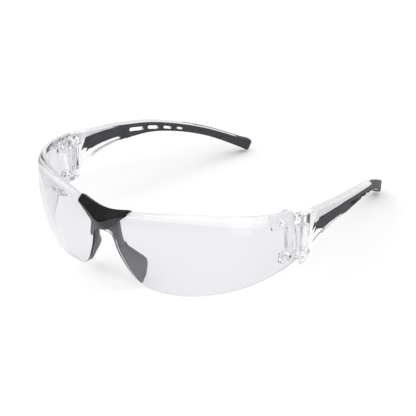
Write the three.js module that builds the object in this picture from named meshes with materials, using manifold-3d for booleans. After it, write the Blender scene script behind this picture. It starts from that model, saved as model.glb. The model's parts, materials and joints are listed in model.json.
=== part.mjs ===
// Safety glasses: a clear one-piece wraparound lens with a black bridge cap, a nosepiece
// behind it, and two clear temples with rubber grips that fold on upright hinge pins.
// Millimetres. The wearer looks along -Y, +X is the wearer's left and +Z is up.
// Every left-hand piece is built first and the right-hand one is its mirror image.
import * as THREE from 'three';
import { mergeVertices } from 'three/addons/utils/BufferGeometryUtils.js';
import Module from 'manifold-3d';

const wasm = await Module();
wasm.setup();

// ---- driving dimensions -------------------------------------------------------------

const GAP = 0.3; // clearance between separate pieces
const FIT = 0.1; // clearance of a snug inlay, pin or rivet

// The lens follows a superellipse in plan and a large circle in elevation.
const LENS_HALF_WIDTH = 66.9;
const LENS_DEPTH = 58.9;
const LENS_CENTRE_Y = -24.2;
const LENS_POWER = 2.42;
const LENS_THICKNESS = 2.2;
const LENS_CROWN_RADIUS = 90;
const LENS_CROWN_Z = 24;
const LENS_TILT = 0.144; // the top leans forward by this much for each unit of height
const LENS_TILT_Z = 20; // height at which the tilt moves nothing
const LENS_PLAN_Z = 36; // height at which the plan curve is exact
const LENS_END = 93; // distance from the nose to the lens end, along the plan curve
const BROW_SETBACK = 1.9; // the brow band leans back this far
const BROW_WIDTH = 1.6; // flat width on top of the brow band
const BROW_HEIGHTS = [0.8, 5.6]; // height of the band at the nose and at the temple

// Heights along the lens: [distance from the nose along the plan curve, z].
const CREST_POINTS = [
  [0, 32.6], [9, 34.3], [16, 36.1], [25, 37.8], [44, 40.1], [62, 39.4], [80, 37.4], [94, 36.2],
];
const NOSE_EDGE_POINTS = [
  [0, 23.6], [2.6, 23.4], [4.4, 22.9], [5.4, 21.4], [6.7, 16.4], [8, 12.5],
  [9.5, 9.3], [10.9, 6.5], [12.4, 4.1], [14.6, 1.6], [18.5, -1.2], [23, -2.4],
];
const BOTTOM_POINTS = [[23, -2.4], [29, -2.5], [36, -2.1], [50, 0.4], [67, 4.3], [80, 7.8], [94, 11.9]];
const TABLE_Z = -2; // the lens bottoms and the temple tips are flat at this height

// Bridge cap: half width, and the heights of its rear edge, ridge and lower edge.
const CAP_HALF_WIDTH = 13;
const CAP_REAR_POINTS = [[0, 34.9], [3, 35.05], [7, 35.7], [CAP_HALF_WIDTH, 37.1]];
const CAP_RIDGE_POINTS = [[0, 29.3], [2.5, 29.9], [5.5, 31.8], [9.5, 33.6], [CAP_HALF_WIDTH, 34.9]];
const CAP_LOWER_POINTS = [
  [0, 24.4], [3, 25.4], [6.1, 27.9], [8.4, 30.2], [10.1, 31.8], [CAP_HALF_WIDTH, 34.2],
];
const CAP_NOSE_OUT = 3.2; // how far the ridge stands out in front of the lens at the centre
const CAP_END_OUT = 0.7;
const CAP_REAR_INSET = 1.5; // the top's rear edge, measured back from the lens front
const CAP_BACK = 4.8; // rear wall of the hook behind the lens
const CAP_BACK_DROP = 1.9; // the top falls away behind its edge by this much
const CAP_HOOK = 3.6; // the hook behind the lens reaches this far below the rear edge

// Nosepiece.
const CARRIER_HALF_WIDTH = 9.6;
const CARRIER_LEG_END = 17.6;
const CARRIER_DEPTH = 1.9;
const PAD_TOP = 17.2;
const PAD_BOTTOM = 0.6;
const PAD_THICKNESS = 1.5;
const PAD_BOW = 0.8;
// How far the rear edge of a pad stands aside from and behind its front edge: [z, distance].
const PAD_ASIDE_POINTS = [[0.6, 0.8], [1.5, 1.4], [4, 3.6], [9.5, 4], [13.5, 3.3], [17.6, 2.2]];
const PAD_BACK_POINTS = [[0.6, 0.7], [1.5, 1.2], [4, 3.9], [9.5, 8.7], [13.5, 6.7], [17.6, 3.7]];

// Hinge.
const PIN_X = 65.2;
const PIN_Y = -30;
const PIN_RADIUS = 0.8;
const PIN_BOTTOM = 12.2;
const PIN_TOP = 32.2;
const KNUCKLE_RADIUS = 2.6;
const EAR_LOWER = [11.9, 16];
const EAR_UPPER = [28.2, 32.4];
const RIVET_RADIUS = 1.3;
const RIVET_HEAD_RADIUS = 2.1;

// Temple stations: [y, x of the middle, z of the top edge, z of the bottom edge].
const TEMPLE_STATIONS = [
  [-30, 66.8, 33.9, 10.4],
  [-20, 66.6, 32.5, 17.2],
  [-10, 66.1, 31.1, 20.1],
  [4, 65.0, 29.3, 21.1],
  [27, 60.5, 25.1, 19.9],
  [54, 51.3, 16.4, 12.0],
  [82, 38.9, 3.1, -2.9],
];
const TEMPLE_THICKNESS = 4.2;
const TEMPLE_FRONT = -26.6;
const CHEEK_FRONT = -32.4; // the outer cheek reaches forward beside the hinge
const CHEEK_THICKNESS = 0.9;
const ROOF_FRONT = -31; // a thin roof covers the upper knuckle
const TIP_START = 75.6;
const TIP_END = 81.8;
const TANG_END = 80;
const TANG_THICKNESS = 1.4;
const TANG_INSET = 1.2; // the tang is this much lower than the temple, above and below
const WEB_THICKNESS = 3.1;

// Grips: [y, gap above, gap below], the margins of clear plastic around the rubber.
const INNER_MARGINS = [
  [-19.7, 2.4, 5.7], [-12.1, 1.7, 3.9], [-8.6, 1.3, 3.6], [3.1, 0.9, 2.4], [6.1, 0.9, 0], [27, 0.9, 0],
  [45, 0.3, 0], [TIP_START, 0.3, 0],
];
const OUTER_MARGINS = [
  [-21.2, 4.1, 6.6], [-15.7, 3.6, 2.6], [-5.1, 2.6, 1.7], [2.9, 1.9, 1.1], [5, 1.8, 0], [15, 1.6, 0],
  [40, 1.0, 0], [49, 0.1, 0], [TIP_START, 0.1, 0],
];
const GRIP_CROWDING = 1.4; // sections of the grips stand closer together towards the front
const GRIP_SLANT = 3.6; // the front edge of a grip leans back by this much
const SLOTS = [[8.2, 18.2], [20.1, 27.4], [29.8, 35.1], [37.8, 41.2]]; // [start, end] along Y
const SLOT_HEIGHT = 2.0;
const SLOT_MIDDLE_BELOW_TOP = [3.4, 3.0, 2.75, 2.5]; // on the temple's inner face
const SLOT_SLANT = [0.6, -0.35]; // drift along Y and Z for each millimetre outwards

// ---- materials ----------------------------------------------------------------------

function material(color, roughness, extra = {}) {
  return new THREE.MeshStandardMaterial({ color, roughness, metalness: 0, ...extra });
}

const CLEAR = material(0xe9e9f0, 0.05, { transparent: true, opacity: 0.35 });
const BLACK_GLOSS = material(0x141518, 0.15);
const DARK_CARRIER = material(0x55575c, 0.45);
const PAD_RUBBER = material(0x6f7278, 0.6);
const GRIP_RUBBER = material(0x3b3d42, 0.7);

// ---- solids -------------------------------------------------------------------------

function toSolid(geometry) {
  const plain = geometry.index ? geometry.clone() : mergeVertices(geometry);
  plain.deleteAttribute('normal');
  plain.deleteAttribute('uv');
  const merged = mergeVertices(plain, 1e-4);
  const mesh = new wasm.Mesh({
    numProp: 3,
    vertProperties: new Float32Array(merged.attributes.position.array),
    triVerts: new Uint32Array(merged.index.array),
  });
  return new wasm.Manifold(mesh);
}

function toGeometry(solid) {
  const mesh = solid.getMesh();
  const geometry = new THREE.BufferGeometry();
  geometry.setAttribute('position', new THREE.BufferAttribute(new Float32Array(mesh.vertProperties), 3));
  geometry.setIndex(new THREE.BufferAttribute(new Uint32Array(mesh.triVerts), 1));
  geometry.computeVertexNormals();
  return geometry;
}

function join(...geometries) {
  return toGeometry(geometries.map(toSolid).reduce((whole, piece) => whole.add(piece)));
}

function cut(geometry, ...tools) {
  const start = toSolid(geometry);
  return toGeometry(tools.map(toSolid).reduce((whole, tool) => whole.subtract(tool), start));
}

// A box whose corners run from [0,0,0] to [1,1,1], carried into space by place(u, v, w).
function mappedBox(segments, place) {
  const geometry = new THREE.BoxGeometry(1, 1, 1, ...segments);
  const position = geometry.attributes.position;
  for (let i = 0; i < position.count; i += 1) {
    const [u, v, w] = [position.getX(i), position.getY(i), position.getZ(i)].map((c) => c + 0.5);
    position.setXYZ(i, ...place(u, v, w));
  }
  return geometry;
}

function box(x0, x1, y0, y1, z0, z1) {
  const geometry = new THREE.BoxGeometry(x1 - x0, y1 - y0, z1 - z0);
  return geometry.translate((x0 + x1) / 2, (y0 + y1) / 2, (z0 + z1) / 2);
}

function uprightCylinder(radius, x, y, z0, z1, sides = 20) {
  const geometry = new THREE.CylinderGeometry(radius, radius, z1 - z0, sides);
  return geometry.rotateX(Math.PI / 2).translate(x, y, (z0 + z1) / 2);
}

// A mirror image across the plane x = 0, with its triangles turned to face outwards again.
function mirrored(geometry) {
  const copy = geometry.clone().scale(-1, 1, 1);
  const index = copy.index;
  for (let i = 0; i < index.count; i += 3) {
    const first = index.getX(i);
    index.setX(i, index.getX(i + 1));
    index.setX(i + 1, first);
  }
  copy.computeVertexNormals();
  return copy;
}

// ---- curves -------------------------------------------------------------------------

// A smooth height along a list of [position, height] points.
function heightCurve(points) {
  const last = points.length - 1;
  const slopeAt = (i) => {
    const before = points[Math.max(i - 1, 0)];
    const after = points[Math.min(i + 1, last)];
    return (after[1] - before[1]) / (after[0] - before[0]);
  };
  return (position) => {
    let i = points.findIndex((point, k) => k < last && position <= points[k + 1][0]);
    if (i < 0) i = last - 1;
    const [x0, z0] = points[i];
    const [x1, z1] = points[i + 1];
    const span = x1 - x0;
    const t = Math.min(Math.max((position - x0) / span, 0), 1);
    const start = z0 * (2 * t ** 3 - 3 * t ** 2 + 1) + slopeAt(i) * span * (t ** 3 - 2 * t ** 2 + t);
    const end = z1 * (3 * t ** 2 - 2 * t ** 3) + slopeAt(i + 1) * span * (t ** 3 - t ** 2);
    return start + end;
  };
}

// Straight lines between a list of [position, height] points.
function brokenLine(points) {
  return (position) => {
    const last = points.length - 1;
    const i = Math.max(points.findLastIndex(([start]) => start <= position), 0);
    const [x0, z0] = points[Math.min(i, last - 1)];
    const [x1, z1] = points[Math.min(i, last - 1) + 1];
    const within = THREE.MathUtils.clamp(position, points[0][0], points[last][0]);
    return THREE.MathUtils.mapLinear(within, x0, x1, z0, z1);
  };
}

// Plan of the lens from the nose (t = 0) to the temple (t = 1), as seen from above.
class LensPlan extends THREE.Curve {
  getPoint(t, target = new THREE.Vector3()) {
    const angle = (t * Math.PI) / 2;
    const x = LENS_HALF_WIDTH * Math.sin(angle) ** (2 / LENS_POWER);
    const y = LENS_CENTRE_Y - LENS_DEPTH * Math.max(Math.cos(angle), 0) ** (2 / LENS_POWER);
    return target.set(x, y, 0);
  }
}

const lensPlan = new LensPlan();
lensPlan.arcLengthDivisions = 2000;
const LENS_PLAN_LENGTH = lensPlan.getLength();

const crestZ = heightCurve(CREST_POINTS);
const noseEdgeZ = heightCurve(NOSE_EDGE_POINTS);
const bottomEdgeZ = heightCurve(BOTTOM_POINTS);
const NOSE_EDGE_END = NOSE_EDGE_POINTS[NOSE_EDGE_POINTS.length - 1][0];

function lensBottomZ(distance) {
  return distance < NOSE_EDGE_END ? noseEdgeZ(distance) : bottomEdgeZ(distance);
}

function browHeight(distance) {
  return THREE.MathUtils.lerp(...BROW_HEIGHTS, distance / LENS_END);
}

// A point at a signed distance from the nose, set in behind the outer lens surface.
function lensPoint(signedDistance, inset, z) {
  const distance = Math.abs(signedDistance);
  const side = Math.sign(signedDistance) || 1;
  const at = Math.min(distance / LENS_PLAN_LENGTH, 1);
  const point = lensPlan.getPointAt(at);
  const tangent = lensPlan.getTangentAt(Math.max(at, 1e-4));
  if (distance < 0.5) tangent.set(1, 0, 0);
  const crown = (height) => Math.sqrt(LENS_CROWN_RADIUS ** 2 - (height - LENS_CROWN_Z) ** 2);
  const total = inset + crown(LENS_PLAN_Z) - crown(z);
  const lean = LENS_TILT * (z - LENS_TILT_Z);
  return [side * (point.x - tangent.y * total), point.y + tangent.x * total - lean, z];
}

// A slab that follows the lens between two distances, two insets and two heights.
function lensSlab(distances, insets, heights, segments = [8, 1, 1]) {
  return mappedBox(segments, (u, v, w) => lensPoint(
    THREE.MathUtils.lerp(distances[0], distances[1], u),
    THREE.MathUtils.lerp(insets[0], insets[1], v),
    THREE.MathUtils.lerp(heights[0], heights[1], w),
  ));
}

// ---- lens ---------------------------------------------------------------------------

const LENS_ROWS = [0, 0.05, 0.13, 0.26, 0.45, 0.65, 0.84, 1]; // shares of the plain lens height

function lensShell(margin = 0) {
  const rows = LENS_ROWS.length; // the last row is the brow crest
  return mappedBox([72, 1, rows], (u, v, w) => {
    const signed = (2 * u - 1) * LENS_END;
    const distance = Math.abs(signed);
    const bottom = lensBottomZ(distance) - margin;
    const crest = crestZ(distance) + margin;
    const shoulder = crest - browHeight(distance);
    const row = Math.round(w * rows);
    const isCrest = row === rows;
    const z = isCrest ? crest : THREE.MathUtils.lerp(bottom, shoulder, LENS_ROWS[row]);
    const isShoulder = row === rows - 1;
    const outer = (isCrest ? BROW_SETBACK : 0) - margin;
    const swell = isCrest || isShoulder ? BROW_SETBACK + BROW_WIDTH : LENS_THICKNESS;
    const inset = v < 0.5 ? outer : swell + margin;
    return lensPoint(signed, inset, z);
  });
}

function lens() {
  const belowTable = box(-100, 100, -120, 0, TABLE_Z - 5, TABLE_Z);
  const holesOn = (side) => rivetSpots().map((spot) => rivetRod(spot, side, RIVET_RADIUS + FIT));
  return cut(lensShell(), belowTable, ...holesOn(1), ...holesOn(-1));
}

// ---- bridge cap ---------------------------------------------------------------------

const capRearZ = heightCurve(CAP_REAR_POINTS);
const capRidgeZ = heightCurve(CAP_RIDGE_POINTS);
const capLowerZ = heightCurve(CAP_LOWER_POINTS);

function bridgeCap() {
  const capWedge = mappedBox([20, 3, 2], (u, v, w) => {
    const x = (2 * u - 1) * CAP_HALF_WIDTH;
    const [rear, ridge, lower] = [capRearZ, capRidgeZ, capLowerZ].map((curve) => curve(Math.abs(x)));
    const out = THREE.MathUtils.lerp(CAP_NOSE_OUT, CAP_END_OUT, Math.abs(2 * u - 1));
    const hook = rear - CAP_HOOK;
    const lensBack = LENS_THICKNESS + GAP;
    const profile = [
      [[-0.9, lower], [-out, ridge], [CAP_REAR_INSET, rear]],
      [[1.0, lower], [1.0, ridge], [CAP_REAR_INSET + 0.8, rear - CAP_BACK_DROP / 4]],
      [[lensBack, hook], [lensBack, hook + 1], [CAP_REAR_INSET + 2, rear - CAP_BACK_DROP / 2]],
      [[CAP_BACK, hook], [CAP_BACK, hook + 1], [CAP_BACK, rear - CAP_BACK_DROP]],
    ];
    const [inset, z] = profile[Math.round(v * 3)][Math.round(w * 2)];
    return lensPoint(x, inset, z);
  });
  return cut(capWedge, lensShell(GAP));
}

// ---- nosepiece ----------------------------------------------------------------------

function noseCarrier() {
  const saddle = mappedBox([28, 1, 3], (u, v, w) => {
    const x = (2 * u - 1) * CARRIER_HALF_WIDTH;
    const foot = Math.max(noseEdgeZ(Math.abs(x)) + 0.4, CARRIER_LEG_END);
    const underHook = capRearZ(Math.abs(x)) - CAP_HOOK - GAP;
    const z = THREE.MathUtils.lerp(foot, Math.min(capLowerZ(Math.abs(x)) + 1, underHook), w);
    return lensPoint(x, LENS_THICKNESS + GAP + v * CARRIER_DEPTH, z);
  });
  return cut(saddle, lensShell(GAP));
}

const padAside = heightCurve(PAD_ASIDE_POINTS);
const padBack = heightCurve(PAD_BACK_POINTS);

// The nose edge read the other way: distance from the nose at a height.
const noseEdgeDistance = heightCurve(NOSE_EDGE_POINTS.map(([s, z]) => [z, s]).reverse());

function nosePad() {
  const blade = mappedBox([1, 5, 16], (u, v, w) => {
    const z = THREE.MathUtils.lerp(PAD_BOTTOM, PAD_TOP, w);
    const [aside, back] = [padAside(z), padBack(z)];
    const splay = Math.atan2(aside, back);
    const across = u * PAD_THICKNESS - PAD_BOW * Math.sin(Math.PI * v);
    const start = lensPoint(noseEdgeDistance(z), LENS_THICKNESS + 1.5 * GAP, z);
    const x = start[0] + v * aside + across * Math.cos(splay);
    const y = start[1] + v * back - across * Math.sin(splay);
    return [x, y, z];
  });
  return cut(blade, lensShell(GAP));
}

// ---- hinge bracket, rivets and pin --------------------------------------------------

function rivetSpots() {
  return [{ distance: LENS_END - 9, z: 33.2 }, { distance: LENS_END - 4.6, z: 14.8 }];
}

// A rod through the lens and bracket, square to the lens, between two insets.
function rivetRod({ distance, z }, side, radius, from = -3, to = 8) {
  const tilt = Math.asin((z - LENS_CROWN_Z) / LENS_CROWN_RADIUS);
  const onAxis = (inset) => {
    const [x, y] = lensPoint(side * distance, inset * Math.cos(tilt), z);
    return new THREE.Vector3(x, y, z - inset * Math.sin(tilt));
  };
  const [start, end] = [onAxis(from), onAxis(to)];
  const rod = new THREE.CylinderGeometry(radius, radius, start.distanceTo(end), 16);
  const along = end.clone().sub(start).normalize();
  const turn = new THREE.Quaternion().setFromUnitVectors(new THREE.Vector3(0, 1, 0), along);
  const middle = start.add(end).multiplyScalar(0.5);
  return rod.applyQuaternion(turn).translate(middle.x, middle.y, middle.z);
}

const BRACKET_INSET = LENS_THICKNESS + GAP;
const BRACKET_THICKNESS = 2.2;

function hingeBracket() {
  const insets = [BRACKET_INSET, BRACKET_INSET + BRACKET_THICKNESS];
  const browInsets = [BROW_SETBACK + BROW_WIDTH + GAP, BRACKET_INSET + BRACKET_THICKNESS];
  const strut = lensSlab([LENS_END - 4.6, LENS_END - 0.4], insets, [EAR_LOWER[0], 30.4]);
  const foot = lensSlab([LENS_END - 8.4, LENS_END - 0.4], insets, [EAR_LOWER[0], 17.4]);
  const block = lensSlab([LENS_END - 12.5, LENS_END - 0.4], browInsets, [29.4, 36]);
  const [xInner, yInner] = lensPoint(LENS_END - 2, BRACKET_INSET + BRACKET_THICKNESS, 20);
  const ears = [EAR_LOWER, EAR_UPPER].map(([z0, z1]) => join(
    uprightCylinder(KNUCKLE_RADIUS, PIN_X, PIN_Y, z0, z1),
    box(xInner, PIN_X - 0.3, yInner, PIN_Y, z0, z1),
  ));
  const body = join(strut, foot, block, ...ears);
  const pinHole = uprightCylinder(PIN_RADIUS + FIT, PIN_X, PIN_Y, PIN_BOTTOM - 3, PIN_TOP + 5, 16);
  const rivetHoles = rivetSpots().map((spot) => rivetRod(spot, 1, RIVET_RADIUS + FIT));
  return cut(body, lensShell(GAP / 2), pinHole, ...rivetHoles);
}

function rivet(spot) {
  const tail = BRACKET_INSET + BRACKET_THICKNESS + 0.9;
  const head = rivetRod(spot, 1, RIVET_HEAD_RADIUS, -0.9, -0.15);
  const shank = rivetRod(spot, 1, RIVET_RADIUS, -0.5, tail);
  return join(head, shank);
}

function hingePin() {
  return uprightCylinder(PIN_RADIUS, PIN_X, PIN_Y, PIN_BOTTOM, PIN_TOP, 16);
}

// ---- temples ------------------------------------------------------------------------

const stationCurve = (column) => heightCurve(TEMPLE_STATIONS.map((row) => [row[0], row[column]]));
const [middleX, topZ, lowZ] = [1, 2, 3].map(stationCurve);

// How far the middle line moves sideways per millimetre along Y.
const sideSlope = (y) => middleX(y + 0.5) - middleX(y - 0.5);

// A point beside the temple's middle line: aside is towards the outside.
function templePoint(y, aside, z) {
  const slope = sideSlope(y);
  const length = Math.hypot(1, slope);
  return [middleX(y) + aside / length, y - (aside * slope) / length, z];
}

function templeBlock(y0, y1, sides, heights, segments = [1, 24, 1]) {
  return mappedBox(segments, (u, v, w) => {
    const y = THREE.MathUtils.lerp(y0, y1, v);
    const aside = THREE.MathUtils.lerp(sides[0], sides[1], u);
    return templePoint(y, aside, THREE.MathUtils.lerp(...heights(y), w));
  });
}

const fullHeight = (y) => [lowZ(y), topZ(y)];

// The rubber inlay's own region, or the recess for it when margin is above zero.
function gripRegion(margins, side, margin) {
  const above = brokenLine(margins.map(([y, top]) => [y, top]));
  const below = brokenLine(margins.map(([y, , bottom]) => [y, bottom]));
  const start = margins[0][0] - margin;
  const half = TEMPLE_THICKNESS / 2;
  const [near, far] = [WEB_THICKNESS / 2 + FIT - margin, half + (margin > 0 ? 1 : 0.05)];
  const sides = side > 0 ? [near, far] : [-far, -near];
  return mappedBox([1, 30, 1], (u, v, w) => {
    const end = TIP_START - GAP + (margin > 0 ? GAP : 0);
    const yMiddle = THREE.MathUtils.lerp(start, end, v ** GRIP_CROWDING);
    const y = yMiddle + (1 - v) ** 8 * GRIP_SLANT * (w - 0.5);
    const low = lowZ(y) + below(y) - margin;
    const high = topZ(y) - above(y) + margin;
    return templePoint(y, THREE.MathUtils.lerp(sides[0], sides[1], u), THREE.MathUtils.lerp(low, high, w));
  });
}

// A through slot with round ends that follows the temple's top edge.
function slot([y0, y1], belowTop) {
  const radius = SLOT_HEIGHT / 2;
  const outline = new THREE.Shape();
  const half = (y1 - y0) / 2 - radius;
  outline.absarc(half, 0, radius, -Math.PI / 2, Math.PI / 2);
  outline.absarc(-half, 0, radius, Math.PI / 2, (3 * Math.PI) / 2);
  outline.closePath();
  const solid = new THREE.ExtrudeGeometry(outline, { depth: 12, bevelEnabled: false, curveSegments: 4 });
  const y = (y0 + y1) / 2;
  const rise = topZ(y1) - topZ(y0);
  solid.translate(0, 0, -6).rotateX(Math.PI / 2).rotateZ(Math.PI / 2);
  const [alongSlant, upSlant] = SLOT_SLANT;
  solid.applyMatrix4(new THREE.Matrix4().makeShear(alongSlant, upSlant, 0, 0, 0, 0));
  solid.translate(0, (alongSlant * TEMPLE_THICKNESS) / 2, (upSlant * TEMPLE_THICKNESS) / 2);
  solid.rotateX(Math.atan2(rise, y1 - y0));
  solid.rotateZ(-Math.atan(sideSlope(y)));
  return solid.translate(middleX(y), y, topZ(y) - belowTop);
}

function slots() {
  return SLOTS.map((ends, i) => slot(ends, SLOT_MIDDLE_BELOW_TOP[i]));
}

// The thin tang that the tip sleeve is pushed onto, or with a margin the pocket for it.
function tipTang(margin) {
  const half = TANG_THICKNESS / 2 + margin;
  const heights = (y) => [lowZ(y) + TANG_INSET - margin, topZ(y) - TANG_INSET + margin];
  const end = TANG_END + (margin > 0 ? GAP : 0);
  return templeBlock(TIP_START - 1, end, [-half, half], heights, [1, 3, 1]);
}

function templeCore() {
  const half = TEMPLE_THICKNESS / 2;
  const bar = templeBlock(TEMPLE_FRONT, TIP_START, [-half, half], fullHeight, [1, 26, 1]);
  const tang = tipTang(0);
  const [knuckleLow, knuckleHigh] = [EAR_LOWER[1] + GAP, EAR_UPPER[0] - GAP];
  const knuckle = uprightCylinder(KNUCKLE_RADIUS, PIN_X, PIN_Y, knuckleLow, knuckleHigh);
  const neckOutside = PIN_X + KNUCKLE_RADIUS - 0.1;
  const neck = box(PIN_X - 1, neckOutside, PIN_Y, TEMPLE_FRONT + 1, knuckleLow, knuckleHigh);
  const recesses = [
    gripRegion(INNER_MARGINS, -1, FIT),
    gripRegion(OUTER_MARGINS, 1, FIT),
  ];
  const pinHole = uprightCylinder(PIN_RADIUS + FIT, PIN_X, PIN_Y, 5, 40, 16);
  const insideCorner = box(0, 3, -2, 3, 0, 50).rotateZ(Math.PI / 4)
    .translate(middleX(TEMPLE_FRONT) - half - 2.4, TEMPLE_FRONT - 0.4, 0);
  const cheekSides = [half - CHEEK_THICKNESS, half];
  const roofHeight = (y) => [EAR_UPPER[1] + GAP, topZ(y)];
  const cheek = templeBlock(CHEEK_FRONT, TEMPLE_FRONT + 1, cheekSides, fullHeight, [1, 2, 1]);
  const roof = templeBlock(ROOF_FRONT, TEMPLE_FRONT + 1, [-half, half], roofHeight, [1, 2, 1]);
  const body = cut(join(bar, tang, cheek, roof), ...recesses, insideCorner);
  return cut(join(body, knuckle, neck), pinHole, ...slots());
}

function grip(margins, side) {
  return cut(gripRegion(margins, side, 0), ...slots());
}

function tipSleeve() {
  const half = TEMPLE_THICKNESS / 2 + 0.05;
  const outside = mappedBox([4, 8, 4], (u, v, w) => {
    const y = THREE.MathUtils.lerp(TIP_START, TIP_END, v);
    const shrink = Math.sqrt(Math.max(1 - Math.max(v - 0.55, 0) ** 2 / 0.45 ** 2, 0.12));
    const aside = (2 * u - 1) * half * shrink;
    const [low, high] = fullHeight(y);
    return templePoint(y, aside, low + w * (high - low) * shrink);
  });
  return cut(outside, tipTang(FIT), box(0, 80, 60, 100, TABLE_Z - 5, TABLE_Z));
}

// ---- assembly -----------------------------------------------------------------------

const glasses = new THREE.Group();

function add(name, geometry, look) {
  const mesh = new THREE.Mesh(geometry, look);
  mesh.name = name;
  glasses.add(mesh);
}

function addPair(name, geometry, look) {
  add(`${name}_left`, geometry, look);
  add(`${name}_right`, mirrored(geometry), look);
}

const [upperSpot, lowerSpot] = rivetSpots();
add('lens', lens(), CLEAR);
add('bridge_cap', bridgeCap(), BLACK_GLOSS);
add('nose_carrier', noseCarrier(), DARK_CARRIER);
addPair('nose_pad', nosePad(), PAD_RUBBER);
addPair('hinge_bracket', hingeBracket(), CLEAR);
addPair('rivet_upper', rivet(upperSpot), CLEAR);
addPair('rivet_lower', rivet(lowerSpot), CLEAR);
addPair('hinge_pin', toGeometry(toSolid(hingePin())), CLEAR);
addPair('temple_core', templeCore(), CLEAR);
addPair('inner_grip', grip(INNER_MARGINS, -1), GRIP_RUBBER);
addPair('outer_grip', grip(OUTER_MARGINS, 1), GRIP_RUBBER);
addPair('tip_sleeve', tipSleeve(), GRIP_RUBBER);

// The origin is on the table, under the middle of the glasses.
const extent = new THREE.Box3().setFromObject(glasses);
glasses.position.set(0, -(extent.min.y + extent.max.y) / 2, -TABLE_Z);

export default glasses;
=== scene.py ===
"""Looks of the safety glasses: a clear wraparound lens, a gloss bridge cap, a soft nosepiece,
and clear temples with moulded rubber grips. Shapes are built in millimetres in the design
frame of the part, and to_world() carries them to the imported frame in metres.
"""

import json
import math

import bmesh
import bpy
import numpy as np
from mathutils import Matrix, Vector


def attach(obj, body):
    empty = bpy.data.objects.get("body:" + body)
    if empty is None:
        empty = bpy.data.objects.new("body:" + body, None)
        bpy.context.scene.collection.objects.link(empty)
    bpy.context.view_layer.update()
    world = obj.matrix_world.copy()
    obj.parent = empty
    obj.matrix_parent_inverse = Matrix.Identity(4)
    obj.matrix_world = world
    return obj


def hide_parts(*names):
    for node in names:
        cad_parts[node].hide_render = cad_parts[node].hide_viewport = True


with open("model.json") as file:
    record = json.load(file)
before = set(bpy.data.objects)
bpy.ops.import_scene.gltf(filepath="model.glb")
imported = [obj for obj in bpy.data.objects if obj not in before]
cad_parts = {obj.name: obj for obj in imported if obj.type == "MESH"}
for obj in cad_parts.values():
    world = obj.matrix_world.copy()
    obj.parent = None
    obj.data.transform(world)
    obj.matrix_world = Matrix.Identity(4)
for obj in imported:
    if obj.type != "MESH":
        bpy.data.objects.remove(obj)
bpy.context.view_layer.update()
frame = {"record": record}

# ---- driving dimensions, millimetres in the design frame -------------------------------
# The camera and many of the values in this section are the rounded output of fitting and
# ray-casting scripts, not dimensions chosen by hand.

MM = 0.001  # metres in a millimetre

PIN_X, PIN_Y, PIN_MIDDLE_Z = 65.2, -30.0, 22.2
PIN_BOTTOM, PIN_TOP, PIN_RADIUS = 12.2, 32.2, 0.8
GAP, FIT = 0.3, 0.1
TABLE_Z = -2.0

LENS_HALF_WIDTH, LENS_DEPTH, LENS_CENTRE_Y, LENS_POWER = 66.9, 58.9, -24.2, 2.42
LENS_THICKNESS = 2.2
LENS_CROWN_RADIUS, LENS_CROWN_Z = 90.0, 24.0
LENS_TILT, LENS_TILT_Z, LENS_PLAN_Z = 0.144, 20.0, 36.0
LENS_END = 93.0
BROW_SETBACK, BROW_WIDTH, BROW_HEIGHTS = 1.9, 1.6, (0.8, 5.6)
MATT_HIGHLIGHT_BROW_FROM = 74.0  # distance from the nose beyond which the whole brow band is matt and painted pale as a highlight
CREST_POINTS = [(0, 32.6), (9, 34.3), (16, 36.1), (25, 37.8), (44, 40.1), (62, 39.4), (80, 37.4), (94, 36.2)]
NOSE_EDGE_POINTS = [(0, 23.6), (2.6, 23.4), (4.4, 22.9), (5.4, 21.4), (6.7, 16.4), (8, 12.5),
                    (9.5, 9.3), (10.9, 6.5), (12.4, 4.1), (14.6, 1.6), (18.5, -1.2), (23, -2.4)]
BOTTOM_POINTS = [(23, -2.4), (29, -2.5), (36, -2.1), (50, 0.4), (67, 4.3), (80, 7.8), (94, 11.9)]

CAP_HALF_WIDTH = 13.0
CAP_REAR_POINTS = [(0, 34.9), (3, 35.05), (7, 35.7), (13, 37.1)]
CAP_RIDGE_POINTS = [(0, 29.3), (2.5, 29.9), (5.5, 31.8), (9.5, 33.6), (13, 34.9)]
CAP_LOWER_POINTS = [(0, 24.4), (3, 25.4), (6.1, 27.9), (8.4, 30.2), (10.1, 31.8), (13, 34.2)]
CAP_NOSE_OUT, CAP_END_OUT = 3.2, 0.7
CAP_REAR_INSET, CAP_BACK, CAP_BACK_DROP, CAP_HOOK = 1.5, 4.8, 1.9, 3.6

CARRIER_HALF_WIDTH, CARRIER_LEG_END, CARRIER_DEPTH = 9.6, 17.6, 1.9
CARRIER_WAIST = 0.16  # the saddle narrows upwards by this share
PAD_TOP, PAD_BOTTOM, PAD_THICKNESS, PAD_BOW = 17.2, 0.6, 1.5, 0.8
PAD_ASIDE_POINTS = [(0.6, 0.8), (1.5, 1.4), (4, 3.6), (9.5, 4), (13.5, 3.3), (17.6, 2.2)]
PAD_BACK_POINTS = [(0.6, 0.7), (1.5, 1.2), (4, 3.9), (9.5, 8.7), (13.5, 6.7), (17.6, 3.7)]

KNUCKLE_RADIUS = 2.6
EAR_LOWER, EAR_UPPER = (11.9, 16.0), (28.2, 32.4)
RIVET_RADIUS, RIVET_HEAD_RADIUS = 1.3, 2.1
RIVET_SPOTS = {"upper": (LENS_END - 9, 33.2), "lower": (LENS_END - 4.6, 14.8)}
BRACKET_INSET, BRACKET_THICKNESS = LENS_THICKNESS + GAP, 2.2

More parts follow.
